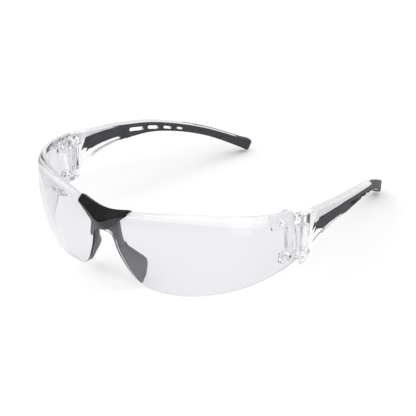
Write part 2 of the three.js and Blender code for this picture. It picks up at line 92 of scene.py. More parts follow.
TEMPLE_STATIONS = [  # y, x of the middle, z of the top edge, z of the bottom edge
    (-30, 66.8, 33.9, 10.4), (-20, 66.6, 32.5, 17.2), (-10, 66.1, 31.1, 20.1), (4, 65.0, 29.3, 21.1),
    (27, 60.5, 25.1, 19.9), (54, 51.3, 16.4, 12.0), (82, 38.9, 3.1, -2.9),
]
TEMPLE_THICKNESS, TEMPLE_FRONT = 4.2, -26.6
CHEEK_FRONT, CHEEK_THICKNESS, ROOF_FRONT = -32.4, 0.9, -31.0
TIP_START, TIP_END = 75.6, 81.8
TIP_CUT_BACK, TIP_LEAN = 1.3, 0.45  # the tip's end is cut squarely across the sloping temple
RAIL_END = 71.0  # the clear rail on top ends here
DARK_EDGE = ((43, 52), (0.9, -0.6))  # along Y, how far aside the rubber reaches over the rail
WEB_THICKNESS = 3.1
GRIP_PROUD = 0.05  # the rubber stands out of the bar by this much
INNER_MARGINS = [(-19.7, 2.4, 5.7), (-12.1, 1.7, 3.9), (-8.6, 1.3, 3.6), (3.1, 0.9, 2.4), (6.1, 0.9, 0),
                 (27, 0.9, 0), (45, 0.3, 0), (TIP_START, 0.3, 0)]
OUTER_MARGINS = [(-21.2, 4.1, 6.6), (-15.7, 3.6, 2.6), (-5.1, 2.6, 1.7), (2.9, 1.9, 1.1), (5, 1.8, 0),
                 (15, 1.6, 0), (40, 1.0, 0), (49, 0.1, 0), (TIP_START, 0.1, 0)]
GRIP_CROWDING, GRIP_SLANT = 1.4, 3.6
SLOTS = [  # start and end along Y, middle below the top edge on the inner face, height
    (8.2, 18.2, 3.4, 2.0), (20.1, 27.4, 3.0, 1.8), (29.8, 35.1, 2.75, 1.55), (37.8, 41.6, 2.5, 1.35),
]
SLOT_SLANT = (0.6, -0.35)  # drift along Y and Z for each millimetre outwards

# Camera: seen from the front, above and to the wearer's left, at a target in the design frame.
CAMERA_TARGET, CAMERA_DISTANCE = (11.9, -24.6, 16.9), 700.0
CAMERA_AZIMUTH, CAMERA_ELEVATION, CAMERA_ROLL = (math.radians(a) for a in (36.32, 25.15, 2.19))
CAMERA_LENS, CAMERA_SENSOR = 132.4, 36.0

joints = frame["record"]["behaviour"]["joints"]
pin = Vector(next(joint for joint in joints if joint["name"] == "left_temple_fold")["pos_m"])
OFFSET = np.array([0, pin.y * 1000 - PIN_Y, pin.z * 1000 - PIN_MIDDLE_Z])


def to_world(points):
    return (np.asarray(points, float) + OFFSET) * MM


def design_centre(face):
    """The middle of a mesh face, back in the design frame."""
    return np.array(face.center) * 1000 - OFFSET


# ---- curves ------------------------------------------------------------------------------


def height_curve(points):
    """A smooth height along a list of (position, height) points."""
    xs, zs = np.array(points, float).T
    slopes = np.array([
        (zs[min(i + 1, len(zs) - 1)] - zs[max(i - 1, 0)]) / (xs[min(i + 1, len(xs) - 1)] - xs[max(i - 1, 0)])
        for i in range(len(xs))
    ])

    def curve(position):
        position = np.asarray(position, float)
        i = np.clip(np.searchsorted(xs, position, side="left") - 1, 0, len(xs) - 2)
        span = xs[i + 1] - xs[i]
        t = np.clip((position - xs[i]) / span, 0, 1)
        start = zs[i] * (2 * t**3 - 3 * t**2 + 1) + slopes[i] * span * (t**3 - 2 * t**2 + t)
        end = zs[i + 1] * (3 * t**2 - 2 * t**3) + slopes[i + 1] * span * (t**3 - t**2)
        return start + end

    return curve


def smoothstep(x, low, high):
    t = np.clip((np.asarray(x, float) - low) / (high - low), 0, 1)
    return t * t * (3 - 2 * t)


crest_z = height_curve(CREST_POINTS)
nose_edge_z = height_curve(NOSE_EDGE_POINTS)
bottom_edge_z = height_curve(BOTTOM_POINTS)
cap_rear_z = height_curve(CAP_REAR_POINTS)
cap_ridge_z = height_curve(CAP_RIDGE_POINTS)
cap_lower_z = height_curve(CAP_LOWER_POINTS)
pad_aside, pad_back = height_curve(PAD_ASIDE_POINTS), height_curve(PAD_BACK_POINTS)
nose_edge_distance = height_curve([(z, s) for s, z in reversed(NOSE_EDGE_POINTS)])
middle_x, top_z, low_z = (height_curve([(row[0], row[k]) for row in TEMPLE_STATIONS]) for k in (1, 2, 3))

# Plan of the lens: a superellipse, tabled by distance from the nose.
_angle = (math.pi / 2) * np.linspace(0, 1, 8001)[:-1] ** 1.3
_power = 2 / LENS_POWER
_plan_x = LENS_HALF_WIDTH * np.sin(_angle) ** _power
_plan_y = LENS_CENTRE_Y - LENS_DEPTH * np.cos(_angle) ** _power
_slope = LENS_DEPTH / LENS_HALF_WIDTH * np.tan(_angle) ** (2 - _power)
_distance = np.concatenate([[0], np.cumsum(np.hypot(np.diff(_plan_x), np.diff(_plan_y)))])


def crown(z):
    return np.sqrt(LENS_CROWN_RADIUS**2 - (z - LENS_CROWN_Z) ** 2)


def lens_points(signed, inset, z):
    """Points at a signed distance from the nose, set in behind the outer lens surface."""
    signed, inset, z = np.broadcast_arrays(*(np.asarray(a, float) for a in (signed, inset, z)))
    distance = np.abs(signed)
    x, y, slope = (np.interp(distance, _distance, values) for values in (_plan_x, _plan_y, _slope))
    across, back = slope / np.hypot(1, slope), 1 / np.hypot(1, slope)
    total = inset + crown(LENS_PLAN_Z) - crown(z)
    lean = LENS_TILT * (z - LENS_TILT_Z)
    side = np.where(signed < 0, -1.0, 1.0)
    return np.stack([side * (x - across * total), y + back * total - lean, z], axis=-1)


def lens_bottom_z(distance):
    return np.where(distance < NOSE_EDGE_POINTS[-1][0], nose_edge_z(distance), bottom_edge_z(distance))


# ---- mesh helpers ------------------------------------------------------------------------


def new_object(name, verts_mm, faces):
    mesh = bpy.data.meshes.new(name)
    mesh.from_pydata([tuple(v) for v in to_world(verts_mm)], [], [tuple(f) for f in faces])
    mesh.validate()
    obj = bpy.data.objects.new(name, mesh)
    bpy.context.scene.collection.objects.link(obj)
    bm = bmesh.new()
    bm.from_mesh(mesh)
    bmesh.ops.remove_doubles(bm, verts=bm.verts, dist=1e-7)
    bmesh.ops.recalc_face_normals(bm, faces=bm.faces)
    bm.to_mesh(mesh)
    bm.free()
    return obj


def loft(name, rings):
    """A closed body through rings of equal length, shape (stations, points, 3), capped at both ends."""
    rings = np.asarray(rings, float)
    stations, count = rings.shape[:2]
    verts = list(rings.reshape(-1, 3))
    faces = []
    for i in range(stations - 1):
        for j in range(count):
            k = (j + 1) % count
            faces.append((i * count + j, i * count + k, (i + 1) * count + k, (i + 1) * count + j))
    for base in (0, (stations - 1) * count):
        centre = len(verts)
        verts.append(np.mean(verts[base:base + count], axis=0))
        faces += [(base + j, base + (j + 1) % count, centre) for j in range(count)]
    return new_object(name, verts, faces)


ROUNDING_SHARE = 0.45  # a rounding takes at most this share of a side
TINY = 1e-9


def rounded_polygon(corners, arc=4):
    """Corner points (x, y, radius, spans to the next corner), rounded, as one ring of points."""
    points = [np.array(c[:2], float) for c in corners]
    ring = []
    for i, (_, _, radius, spans) in enumerate(corners):
        here, before, after = points[i], points[i - 1], points[(i + 1) % len(points)]
        to_before, to_after = before - here, after - here
        before_limit = ROUNDING_SHARE * np.linalg.norm(to_before)
        after_limit = ROUNDING_SHARE * np.linalg.norm(to_after)
        reach = min(radius, before_limit, after_limit)
        start = here + to_before / max(np.linalg.norm(to_before), TINY) * reach
        end = here + to_after / max(np.linalg.norm(to_after), TINY) * reach
        for t in np.linspace(0, 1, arc + 1):
            ring.append((1 - t) ** 2 * start + 2 * t * (1 - t) * here + t * t * end)
        next_radius = corners[(i + 1) % len(corners)][2]
        next_here = points[(i + 1) % len(points)]
        over = points[(i + 2) % len(points)] - next_here
        next_reach = min(next_radius, after_limit, ROUNDING_SHARE * np.linalg.norm(over))
        stop = next_here - to_after / max(np.linalg.norm(to_after), TINY) * next_reach
        ring += [end + (stop - end) * k / spans for k in range(1, spans)]
    return np.array(ring)


def rounded_box_ring(x0, x1, z0, z1, radius, spans=1):
    return rounded_polygon([(x0, z0, radius, spans), (x1, z0, radius, spans),
                            (x1, z1, radius, spans), (x0, z1, radius, spans)], 3)


def revolve(name, profile, origin=(0, 0, 0), axis=(0, 0, 1), sides=48):
    """A closed body of revolution: profile is a list of (radius, height along the axis)."""
    turn = Vector((0, 0, 1)).rotation_difference(Vector(axis)).to_matrix()
    rings = []
    for radius, height in profile:
        angles = np.linspace(0, 2 * math.pi, sides, endpoint=False)
        rings.append([Vector(origin) + turn @ Vector((radius * math.cos(a), radius * math.sin(a), height))
                      for a in angles])
    return loft(name, np.array([[tuple(v) for v in ring] for ring in rings]))


def rounded_rod(name, radius, z0, z1, x, y, edge=0.25):
    low = [(radius - edge + edge * math.sin(a), z0 + edge - edge * math.cos(a))
           for a in np.linspace(0, math.pi / 2, 5)]
    high = [(r, z1 - (z - z0)) for r, z in reversed(low)]
    least = 0.02  # the flat ends close on a ring this small
    return revolve(name, [(least, z0)] + low + high + [(least, z1)], (x, y, 0))


def combine(target, tool, operation):
    """Joins or subtracts the tool, which is used up."""
    modifier = target.modifiers.new("combine", "BOOLEAN")
    modifier.operation = operation
    modifier.solver = "EXACT"
    modifier.object = tool
    bpy.context.view_layer.update()
    evaluated = target.evaluated_get(bpy.context.evaluated_depsgraph_get())
    mesh = bpy.data.meshes.new_from_object(evaluated)
    target.modifiers.remove(modifier)
    old = target.data
    target.data = mesh
    bpy.data.meshes.remove(old)
    bpy.data.objects.remove(tool)


def mirrored(obj, name):
    """A mirror image across the plane x = 0."""
    copy = bpy.data.objects.new(name, obj.data.copy())
    bpy.context.scene.collection.objects.link(copy)
    copy.data.transform(Matrix.Scale(-1, 4, (1, 0, 0)))
    copy.data.flip_normals()
    return copy


def smooth(obj, sharp_degrees):
    obj.data.polygons.foreach_set("use_smooth", [True] * len(obj.data.polygons))
    obj.data.set_sharp_from_angle(angle=math.radians(sharp_degrees))


# ---- materials ---------------------------------------------------------------------------


class Look:
    """A material built round one Principled shader."""

    def __init__(self, name, **values):
        self.material = bpy.data.materials.new(name)
        self.material.use_nodes = True
        self.nodes = self.material.node_tree.nodes
        self.links = self.material.node_tree.links
        self.shader = self.nodes["Principled BSDF"]
        for socket, value in values.items():
            self.shader.inputs[socket].default_value = value

    def noise(self, scale, detail=3.0, roughness=0.5):
        where = self.nodes.new("ShaderNodeTexCoord")
        texture = self.nodes.new("ShaderNodeTexNoise")
        texture.inputs["Scale"].default_value = scale
        texture.inputs["Detail"].default_value = detail
        texture.inputs["Roughness"].default_value = roughness
        self.links.new(where.outputs["Object"], texture.inputs["Vector"])
        return texture.outputs["Fac"]

    def spread(self, factor, low, high, socket):
        """Maps a texture onto a number socket."""
        span = self.nodes.new("ShaderNodeMapRange")
        span.inputs["To Min"].default_value = low
        span.inputs["To Max"].default_value = high
        self.links.new(factor, span.inputs["Value"])
        self.links.new(span.outputs["Result"], self.shader.inputs[socket])

    def colours(self, factor, first, second):
        ramp = self.nodes.new("ShaderNodeValToRGB")
        ramp.color_ramp.elements[0].position = 0.3
        ramp.color_ramp.elements[1].position = 0.7
        ramp.color_ramp.elements[0].color = (*first, 1)
        ramp.color_ramp.elements[1].color = (*second, 1)
        self.links.new(factor, ramp.inputs["Fac"])
        self.links.new(ramp.outputs["Color"], self.shader.inputs["Base Color"])

    def bump(self, factor, strength, distance):
        node = self.nodes.new("ShaderNodeBump")
        node.inputs["Strength"].default_value = strength
        node.inputs["Distance"].default_value = distance
        self.links.new(factor, node.inputs["Height"])
        self.links.new(node.outputs["Normal"], self.shader.inputs["Normal"])

    def lit_through(self):
        """Lamps shine through the clear plastic."""
        output = next(n for n in self.nodes if n.type == "OUTPUT_MATERIAL")
        path = self.nodes.new("ShaderNodeLightPath")
        clear = self.nodes.new("ShaderNodeBsdfTransparent")
        mix = self.nodes.new("ShaderNodeMixShader")
        self.links.new(path.outputs["Is Shadow Ray"], mix.inputs["Fac"])
        self.links.new(self.shader.outputs["BSDF"], mix.inputs[1])
        self.links.new(clear.outputs["BSDF"], mix.inputs[2])
        self.links.new(mix.outputs["Shader"], output.inputs["Surface"])


def clear_look(name, first, second, ior, ripple, transmission=1.0, polish=(0.015, 0.035)):
    look = Look(name, **{"Transmission Weight": transmission, "IOR": ior, "Specular IOR Level": 0.35})
    look.colours(look.noise(18, 1.0), first, second)
    look.spread(look.noise(900, 2.0), *polish, "Roughness")
    look.bump(look.noise(45, 1.0), ripple, 0.0004)
    look.lit_through()
    return look.material


def rubber_look(name, first, second, low, high, grain=4200, strength=0.35):
    look = Look(name, **{"Specular IOR Level": 0.15})
    look.colours(look.noise(160, 5.0, 0.6), first, second)
    look.spread(look.noise(700, 4.0), low, high, "Roughness")
    look.bump(look.noise(grain, 4.0, 0.6), strength, 0.00006)
    return look.material


CLEAR_LENS = clear_look("clear_lens", (0.805, 0.80, 0.835), (0.835, 0.83, 0.865), 1.4, 0.02)
CLEAR_BROW = clear_look("clear_brow", (0.95, 0.95, 0.955), (0.97, 0.97, 0.975), 1.36, 0.02)
CLEAR_PLASTIC = clear_look("clear_plastic", (0.94, 0.94, 0.95), (0.97, 0.97, 0.975), 1.3, 0.03,
                           1.0, (0.05, 0.08))
# The rail look is a matt clear whose whitish colour is a painted highlight on the temple's top, upper outer
# margin and front edges.
RAIL_PAINTED_HIGHLIGHT = clear_look("clear_rail", (0.82, 0.82, 0.84), (0.87, 0.87, 0.885), 1.3, 0.03, 0.35, (0.2, 0.3))
# The crest look is a matt clear whose pale grey colour is a painted highlight along the top of the lens's
# brow band.
CREST_PAINTED_HIGHLIGHT = clear_look("clear_crest", (0.68, 0.68, 0.715), (0.74, 0.74, 0.77), 1.3, 0.03, 0.35, (0.2, 0.3))
GRIP = rubber_look("grip_rubber", (0.036, 0.038, 0.043), (0.048, 0.050, 0.056), 0.5, 0.66)
NOSE = rubber_look("nose_rubber", (0.112, 0.114, 0.122), (0.135, 0.138, 0.147), 0.45, 0.6, 3000, 0.2)

gloss = Look("gloss_black", **{"Specular IOR Level": 0.12})
gloss.colours(gloss.noise(250, 3.0), (0.003, 0.0031, 0.0035), (0.005, 0.0052, 0.006))
gloss.spread(gloss.noise(1500, 3.0), 0.14, 0.24, "Roughness")
gloss.bump(gloss.noise(300, 2.0), 0.05, 0.0001)

# A lighter and rougher black for the cap's front facets below the ridge.
facet_black = Look("lighter_facet_black", **{"Specular IOR Level": 0.3})
facet_black.colours(facet_black.noise(250, 3.0), (0.026, 0.027, 0.030), (0.032, 0.033, 0.036))
facet_black.spread(facet_black.noise(1500, 3.0), 0.38, 0.48, "Roughness")
facet_black.bump(facet_black.noise(2500, 3.0), 0.08, 0.00005)


def place(obj, material, body, slot, *nodes, sharp=35):
    obj.data.materials.clear()
    obj.data.materials.append(material)
    smooth(obj, sharp)
    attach(obj, body)
    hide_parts(*nodes)
    return obj


# ---- lens --------------------------------------------------------------------------------


def shoulder_z(distance):
    """Height of the shoulder under the brow band."""
    brow = BROW_HEIGHTS[0] + (BROW_HEIGHTS[1] - BROW_HEIGHTS[0]) * distance / LENS_END
    return float(crest_z(distance)) - brow


def build_lens():
    end_rounding, step = 1.0, 0.42
    edge_radius, shoulder_radius, crest_radius = 0.9, 0.8, 0.45
    band_drop, band_radius = 0.6, 1.2  # the thick band ends this far below the shoulder
    taper_drop, taper_radius = 5.5, 3.0  # and has thinned to the lens this far below it
    front_spans, back_spans = 34, 30
    least_keep = 0.03
    inner = np.arange(0, LENS_END - end_rounding, step)
    ends = LENS_END - end_rounding + end_rounding * np.sin(np.linspace(0, math.pi / 2, 7))
    half = np.concatenate([inner, ends])
    stations = np.concatenate([-half[::-1], half[1:]])
    rings = []
    for signed in stations:
        distance = abs(signed)
        bottom, crest = float(lens_bottom_z(distance)), float(crest_z(distance))
        shoulder = shoulder_z(distance)
        back = BROW_SETBACK + BROW_WIDTH
        ring = rounded_polygon([
            (0, bottom, edge_radius, front_spans), (0, shoulder, shoulder_radius, 2),
            (BROW_SETBACK, crest, crest_radius, 1), (back, crest, crest_radius, 2),
            (back, shoulder - band_drop, band_radius, 3),
            (LENS_THICKNESS, shoulder - taper_drop, taper_radius, back_spans),
            (LENS_THICKNESS, bottom, edge_radius, 1),
        ])
        inset, z = ring.T
        past = max(distance - (LENS_END - end_rounding), 0) / end_rounding
        keep = math.sqrt(max(1 - past**2, least_keep))
        centre = LENS_THICKNESS / 2
        inset = centre + (inset - centre) * keep
        z = z + (1 - keep) * end_rounding * (smoothstep(z, crest, bottom) - 0.5) * 2 if past else z
        z = np.maximum(z, TABLE_Z)
        rings.append(lens_points(signed, inset, z))
    return loft("lens_clear", rings)


def rivet_axis(spot, side):
    """Origin on the lens front and unit axis inwards of a rivet."""
    distance, z = RIVET_SPOTS[spot]
    tilt = math.asin((z - LENS_CROWN_Z) / LENS_CROWN_RADIUS)
    start = lens_points(side * distance, 0, z)
    inside = lens_points(side * distance, math.cos(tilt), z) - [0, 0, math.sin(tilt)]
    axis = Vector(inside - start).normalized()
    return Vector(start), axis


def rod_on_axis(name, spot, side, radius, start, end):
    origin, axis = rivet_axis(spot, side)
    return revolve(name, [(radius, start), (radius, end)], origin, axis, 32)


lens = build_lens()
for spot in RIVET_SPOTS:
    for side in (1, -1):
        combine(lens, rod_on_axis("hole", spot, side, RIVET_RADIUS + FIT / 2, -3, 6), "DIFFERENCE")
place(lens, CLEAR_LENS, "front", "clear_lens", "lens", sharp=50)
lens.data.materials.append(CLEAR_BROW)
lens.data.materials.append(CREST_PAINTED_HIGHLIGHT)
TOP_RISE = 0.7  # a normal that points up by more than this belongs to the band's top
for face in lens.data.polygons:  # the brow band carries no tint, and its top and ends are matt, with a pale colour that paints a highlight
    x, _, z = design_centre(face)
    distance = float(np.interp(abs(x), _plan_x, _distance))
    on_band = z > shoulder_z(distance)
    # the band's up-facing top and far ends take the pale crest look, a painted highlight
    matt_and_painted_highlight = on_band and (face.normal.z > TOP_RISE or distance > MATT_HIGHLIGHT_BROW_FROM)
    face.material_index = 2 if matt_and_painted_highlight else int(on_band)


# ---- bridge cap --------------------------------------------------------------------------


def build_cap():
    stations = CAP_HALF_WIDTH * np.sin(np.linspace(-math.pi / 2, math.pi / 2, 61))
    lip_out, front_gap = 1.0, 0.1
    hook_front, ledge, ledge_drop, top_gap = 3.7, 1.8, 0.75, 0.15  # the inside follows the brow band
    rings = []
    for x in stations:
        share = abs(x) / CAP_HALF_WIDTH
        rear, ridge, lower = (float(c(abs(x))) for c in (cap_rear_z, cap_ridge_z, cap_lower_z))
        crest = float(crest_z(abs(x)))
        out = CAP_NOSE_OUT + (CAP_END_OUT - CAP_NOSE_OUT) * share
        hook = rear - CAP_HOOK
        corners = [
            (-lip_out, lower, 0.35, 4), (-out, ridge, 0.45, 5), (CAP_REAR_INSET, rear, 0.4, 2),
            (CAP_REAR_INSET + 2, rear - CAP_BACK_DROP / 2, 0.5, 1), (CAP_BACK, rear - CAP_BACK_DROP, 0.4, 3),
            (CAP_BACK, hook, 0.4, 1), (hook_front, hook, 0.1, 3), (hook_front, crest + top_gap, 0.1, 2),
            (ledge, crest + top_gap, 0.1, 1), (-front_gap, crest - ledge_drop, 0.1, 8),
            (-front_gap, lower + 0.1, 0.05, 1),
        ]
        ring = rounded_polygon(corners, 3)
        inset, z = ring.T
        rings.append(lens_points(x, inset, z))
    return loft("bridge_cap_gloss", rings)


cap = place(build_cap(), gloss.material, "front", "gloss_black", "bridge_cap", sharp=60)
cap.data.materials.append(facet_black.material)
RIDGE_MARGIN, FRONT_FACING = 0.15, -0.35
for face in cap.data.polygons:  # the two front facets below the ridge get a lighter, rougher black than the top
    x, _, z = design_centre(face)
    below_ridge = z < float(cap_ridge_z(abs(x))) - RIDGE_MARGIN
    face.material_index = int(below_ridge and face.normal.y < FRONT_FACING)


# ---- nosepiece ---------------------------------------------------------------------------


def build_saddle():
    rings = []
    foot_gap, cap_overlap, waist_rise = 0.4, 1, 7
    front = LENS_THICKNESS + 0.12
    for x in np.linspace(-CARRIER_HALF_WIDTH, CARRIER_HALF_WIDTH, 61):
        foot = max(float(nose_edge_z(abs(x))) + foot_gap, CARRIER_LEG_END)
        top = min(float(cap_lower_z(abs(x))) + cap_overlap, float(cap_rear_z(abs(x))) - CAP_HOOK - GAP)
        ring = rounded_box_ring(front, front + CARRIER_DEPTH, foot, top, 0.7, 6)
        inset, z = ring.T
        waist = 1 - CARRIER_WAIST * smoothstep(z, CARRIER_LEG_END, CARRIER_LEG_END + waist_rise)
        rings.append(lens_points(x * waist, inset, z))
    return loft("nosepiece", rings)


def build_pad():
    rings = []
    saddle_overlap = 2.2  # the pads reach this far up into the saddle
    thin_share = 0.55  # constant share of the thickness; the rest swells towards the middle
    for w in np.linspace(0, 1, 41):
        z = PAD_BOTTOM + (PAD_TOP + saddle_overlap - PAD_BOTTOM) * w
        side, back = float(pad_aside(z)), float(pad_back(z))
        width, splay = math.hypot(side, back), math.atan2(side, back)
        start = lens_points(float(nose_edge_distance(z)), LENS_THICKNESS + GAP, z)
        thickness = PAD_THICKNESS * (thin_share + 0.45 * math.sin(math.pi * min(max(w, 0.08), 0.9)))
        ring = rounded_box_ring(0, thickness, -0.2, width, 0.6, 5)
        across, reach = ring.T
        aside = across - PAD_BOW * np.sin(math.pi * np.clip(reach / width, 0, 1))
        x = start[0] + reach * math.sin(splay) + aside * math.cos(splay)
        y = start[1] + reach * math.cos(splay) - aside * math.sin(splay)
        rings.append(np.stack([x, y, np.full_like(x, z)], axis=-1))
    return loft("pad", rings)


def remesh_soft(obj, voxel_mm, smoothing):
    """One continuous moulded body: remeshed finely, then smoothed."""
    for kind, settings in (
        ("REMESH", {"mode": "VOXEL", "voxel_size": voxel_mm * MM}),
        ("SMOOTH", {"factor": 0.5, "iterations": smoothing}),
    ):
        modifier = obj.modifiers.new(kind.lower(), kind)
        for key, value in settings.items():
            setattr(modifier, key, value)
    bpy.context.view_layer.update()
    mesh = bpy.data.meshes.new_from_object(obj.evaluated_get(bpy.context.evaluated_depsgraph_get()))
    obj.modifiers.clear()
    old = obj.data
    obj.data = mesh
    bpy.data.meshes.remove(old)


def gather(target, *others):
    """Puts the faces of the others, which are used up, into the target's mesh."""
    bm = bmesh.new()
    for obj in (target, *others):
        bm.from_mesh(obj.data)
    bm.to_mesh(target.data)
    bm.free()
    for obj in others:
        bpy.data.objects.remove(obj)


nosepiece, pad_left = build_saddle(), build_pad()
gather(nosepiece, pad_left, mirrored(pad_left, "pad_right"))
remesh_soft(nosepiece, 0.34, 16)
place(nosepiece, NOSE, "front", "nose_rubber", "nose_carrier", "nose_pad_left", "nose_pad_right", sharp=80)


# ---- hinge brackets, rivets and pins -----------------------------------------------------


def lens_slab(name, distances, insets, heights):
    """A slab that follows the lens, with rounded edges."""
    rings = []
    low, high = distances
    radius = 0.45
    edge = np.array([0, 0.12, 0.35, 0.7, 1.0]) * radius
    between = np.linspace(low + radius, high - radius, 12)[1:-1]
    stations = np.concatenate([low + edge, between, high - edge[::-1]])
    for signed in stations:
        inside = min(signed - low, high - signed)
        shrink = radius - math.sqrt(max(radius**2 - max(radius - inside, 0) ** 2, 0))
        ring = rounded_box_ring(insets[0] + shrink, insets[1] - shrink,
                                heights[0] + shrink, heights[1] - shrink, radius, 4)
        rings.append(lens_points(signed, ring[:, 0], ring[:, 1]))
    return loft(name, rings)


def box_body(name, x0, x1, y0, y1, z0, z1):
    ring = rounded_box_ring(x0, x1, z0, z1, 0.3)
    return loft(name, [[(x, y, z) for x, z in ring] for y in (y0, y1)])


def pin_hole():
    return revolve("hole", [(PIN_RADIUS + FIT, 5), (PIN_RADIUS + FIT, 40)], (PIN_X, PIN_Y, 0))


def build_bracket():
    insets = (BRACKET_INSET, BRACKET_INSET + BRACKET_THICKNESS)
    brow_insets = (BROW_SETBACK + BROW_WIDTH + 0.15, insets[1] + 0.001)
    arm_length, foot_length, block_length = 4.6, 8.4, 12.5  # back along the lens from its end
    arm_gap, foot_gap, block_gap = 0.4, 0.41, 0.42  # slightly apart, so that no two ends share a plane
    arm_top, foot_top, block_heights = 30.4, 17.4, (29.4, 36)
    body = lens_slab("hinge_bracket_clear_left", (LENS_END - arm_length, LENS_END - arm_gap), insets,
                     (EAR_LOWER[0], arm_top))
    combine(body, lens_slab("foot", (LENS_END - foot_length, LENS_END - foot_gap), insets,
                            (EAR_LOWER[0] + 0.01, foot_top)), "UNION")
    combine(body, lens_slab("block", (LENS_END - block_length, LENS_END - block_gap), brow_insets,
                            block_heights), "UNION")
    x_inner, y_inner, _ = lens_points(LENS_END - 2, insets[1] - 0.3, 20)
    for z0, z1 in (EAR_LOWER, EAR_UPPER):
        combine(body, rounded_rod("ear", KNUCKLE_RADIUS, z0, z1, PIN_X, PIN_Y), "UNION")
        combine(body, box_body("web", x_inner, PIN_X - 0.3, y_inner, PIN_Y, z0 + 0.05, z1 - 0.05), "UNION")
    combine(body, pin_hole(), "DIFFERENCE")
    for spot in RIVET_SPOTS:
        combine(body, rod_on_axis("hole", spot, 1, RIVET_RADIUS + FIT / 2, -3, 8), "DIFFERENCE")
    return body


def build_rivet(spot, side):
    """A domed head on the outer lens face and a shank with a small headed tail."""
    origin, axis = rivet_axis(spot, side)
    tail = BRACKET_INSET + BRACKET_THICKNESS + 0.9
    dome_height, dome_gap = 0.75, 0.15
    dome = [(RIVET_HEAD_RADIUS * math.sin(a), -dome_gap - dome_height * math.cos(a))
            for a in np.linspace(0.02, math.pi / 2, 9)]
    profile = dome + [(RIVET_HEAD_RADIUS, -0.1), (RIVET_RADIUS + 0.15, -0.06), (RIVET_RADIUS, 0.05),
                      (RIVET_RADIUS, tail - 0.3), (RIVET_RADIUS - 0.1, tail - 0.1),
                      (RIVET_RADIUS - 0.4, tail)]
    return revolve(f"rivet_{spot}_clear_{'left' if side > 0 else 'right'}", profile, origin, axis)


bracket = build_bracket()
bracket_right = mirrored(bracket, "hinge_bracket_clear_right")
place(bracket, CLEAR_PLASTIC, "front", "clear_plastic", "hinge_bracket_left")
place(bracket_right, CLEAR_PLASTIC, "front", "clear_plastic", "hinge_bracket_right")
for side, name in ((1, "left"), (-1, "right")):
    for spot in RIVET_SPOTS:
        place(build_rivet(spot, side), CLEAR_PLASTIC, "front", "clear_plastic", f"rivet_{spot}_{name}")
    rod = rounded_rod(f"hinge_pin_clear_{name}", PIN_RADIUS, PIN_BOTTOM, PIN_TOP, side * PIN_X, PIN_Y, 0.2)
    place(rod, CLEAR_PLASTIC, "front", "clear_plastic", f"hinge_pin_{name}")


# ---- temples -----------------------------------------------------------------------------


def side_slope(y):
    return middle_x(y + 0.5) - middle_x(y - 0.5)


def temple_points(y, aside, z):
    y, aside, z = np.broadcast_arrays(*(np.asarray(a, float) for a in (y, aside, z)))
    slope = side_slope(y)
    length = np.hypot(1, slope)
    return np.stack([middle_x(y) + aside / length, y - aside * slope / length, z], axis=-1)


def temple_body(name, y0, y1, sides, low, high, radius):
    """A bar along the temple between two sides and two height curves, with rounded edges."""
    step = 0.7
    stations = np.linspace(y0, y1, max(int((y1 - y0) / step), 3))
    rings = []
    for y in stations:
        ring = rounded_box_ring(*sides, float(low(y)), float(high(y)), radius, 3)
        rings.append(temple_points(y, ring[:, 0], ring[:, 1]))
    return loft(name, rings)


def grip_body(name, margins, side, grow=0.0):
    """The rubber inlay, or a slightly different size of it."""
    ys, above, below = np.array(margins, float).T
    near, far = WEB_THICKNESS / 2 - grow, TEMPLE_THICKNESS / 2 + GRIP_PROUD + grow
    sides = (near, far) if side > 0 else (-far, -near)
    rings = []
    for v in np.linspace(0, 1, 150):
        y_middle = margins[0][0] - grow + (TIP_START + 0.2 - margins[0][0]) * v**GRIP_CROWDING
        lean = (1 - v) ** 8 * GRIP_SLANT
        low_y, high_y = y_middle - lean / 2, y_middle + lean / 2
        z0 = float(low_z(low_y)) + float(np.interp(low_y, ys, below)) - grow
        z1 = float(top_z(high_y)) - float(np.interp(high_y, ys, above)) + grow
        ring = rounded_box_ring(*sides, z0, z1, 0.35, 3)
        y = y_middle + lean * ((ring[:, 1] - z0) / (z1 - z0) - 0.5)
        rings.append(temple_points(y, ring[:, 0], ring[:, 1]))
    return loft(name, rings)


def slot_body(y0, y1, below_top, height):
    radius = height / 2
    half = (y1 - y0) / 2 - radius
    y, rise = (y0 + y1) / 2, float(top_z(y1) - top_z(y0))
    outline = [(half * s + radius * math.cos(a), radius * math.sin(a))
               for s, start in ((1, -math.pi / 2), (-1, math.pi / 2))
               for a in np.linspace(start, start + math.pi, 13)]
    pitch, yaw = math.atan2(rise, y1 - y0), -math.atan(float(side_slope(y)))
    turn = Matrix.Rotation(yaw, 3, "Z") @ Matrix.Rotation(pitch, 3, "X")
    middle = Vector((float(middle_x(y)), y, float(top_z(y)) - below_top))
    rings = []
    reach = 6  # the cutter goes right through the temple
    for x in (-reach, reach):
        drift = [slant * (x + TEMPLE_THICKNESS / 2) for slant in SLOT_SLANT]
        ring = [middle + turn @ Vector((x, along + drift[0], up + drift[1])) for along, up in outline]
        rings.append([tuple(point) for point in ring])
    return loft("slot", rings)


def cut_slots(obj):
    for ends in SLOTS:
        combine(obj, slot_body(*ends), "DIFFERENCE")
    return obj


